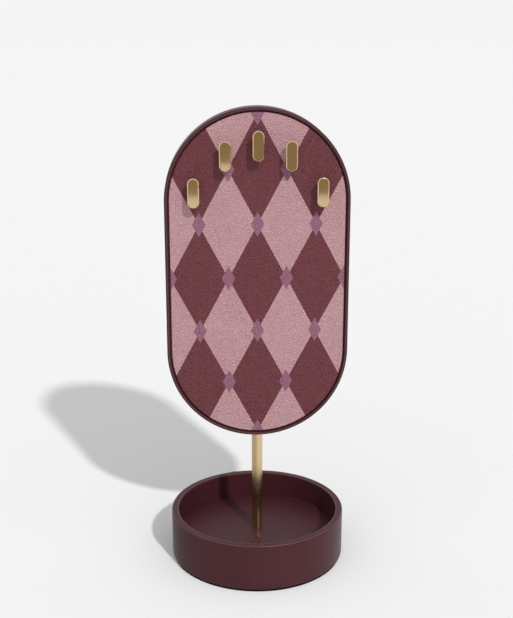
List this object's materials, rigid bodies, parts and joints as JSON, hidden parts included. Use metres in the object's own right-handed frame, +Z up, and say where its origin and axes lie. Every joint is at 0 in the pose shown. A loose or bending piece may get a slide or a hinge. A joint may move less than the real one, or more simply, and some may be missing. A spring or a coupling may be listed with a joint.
{
  "type": "necklace stand",
  "caption": "Upright round-ended leatherette board with brass pill-shaped hooks, held by a brass post in a round leatherette dish for rings.",
  "frame": {"origin": "centre of the underside of the dish, on the surface that the stand rests on", "axes": "+Z up along the post, the face of the board with the hooks looks along -Y, +X to the viewer's right"},
  "size_m": [0.113, 0.112, 0.2913],
  "materials": {
    "printed_leatherette": "fine-grained leatherette with a two-colour lozenge print",
    "burgundy_leatherette": "fine-grained dark burgundy leatherette",
    "satin_brass": "satin brass plating",
    "fibreboard": "raw fibreboard",
    "strip": "stiff pressed fibre strip",
    "card": "grey board",
    "steel": "zinc-plated steel",
    "felt": "dark felt"
  },
  "bodies": {
    "root": {"back_card": "card", "back_leather": "burgundy_leatherette", "base_disc": "fibreboard", "base_felt": "felt", "board_core": "fibreboard", "edge_hoop": "strip", "edge_wrap": "burgundy_leatherette", "floor_card": "card", "floor_leather": "burgundy_leatherette", "front_card": "card", "front_leather": "printed_leatherette", "hook_centre": "satin_brass", "hook_left_inner": "satin_brass", "hook_left_outer": "satin_brass", "hook_right_inner": "satin_brass", "hook_right_outer": "satin_brass", "hook_screws": "steel", "hook_washers": "steel", "post": "satin_brass", "post_insert": "satin_brass", "post_nut": "steel", "post_washer": "steel", "wall_core": "fibreboard", "wall_wrap": "burgundy_leatherette", "weight_plate": "steel"}
  },
  "joints": []
}
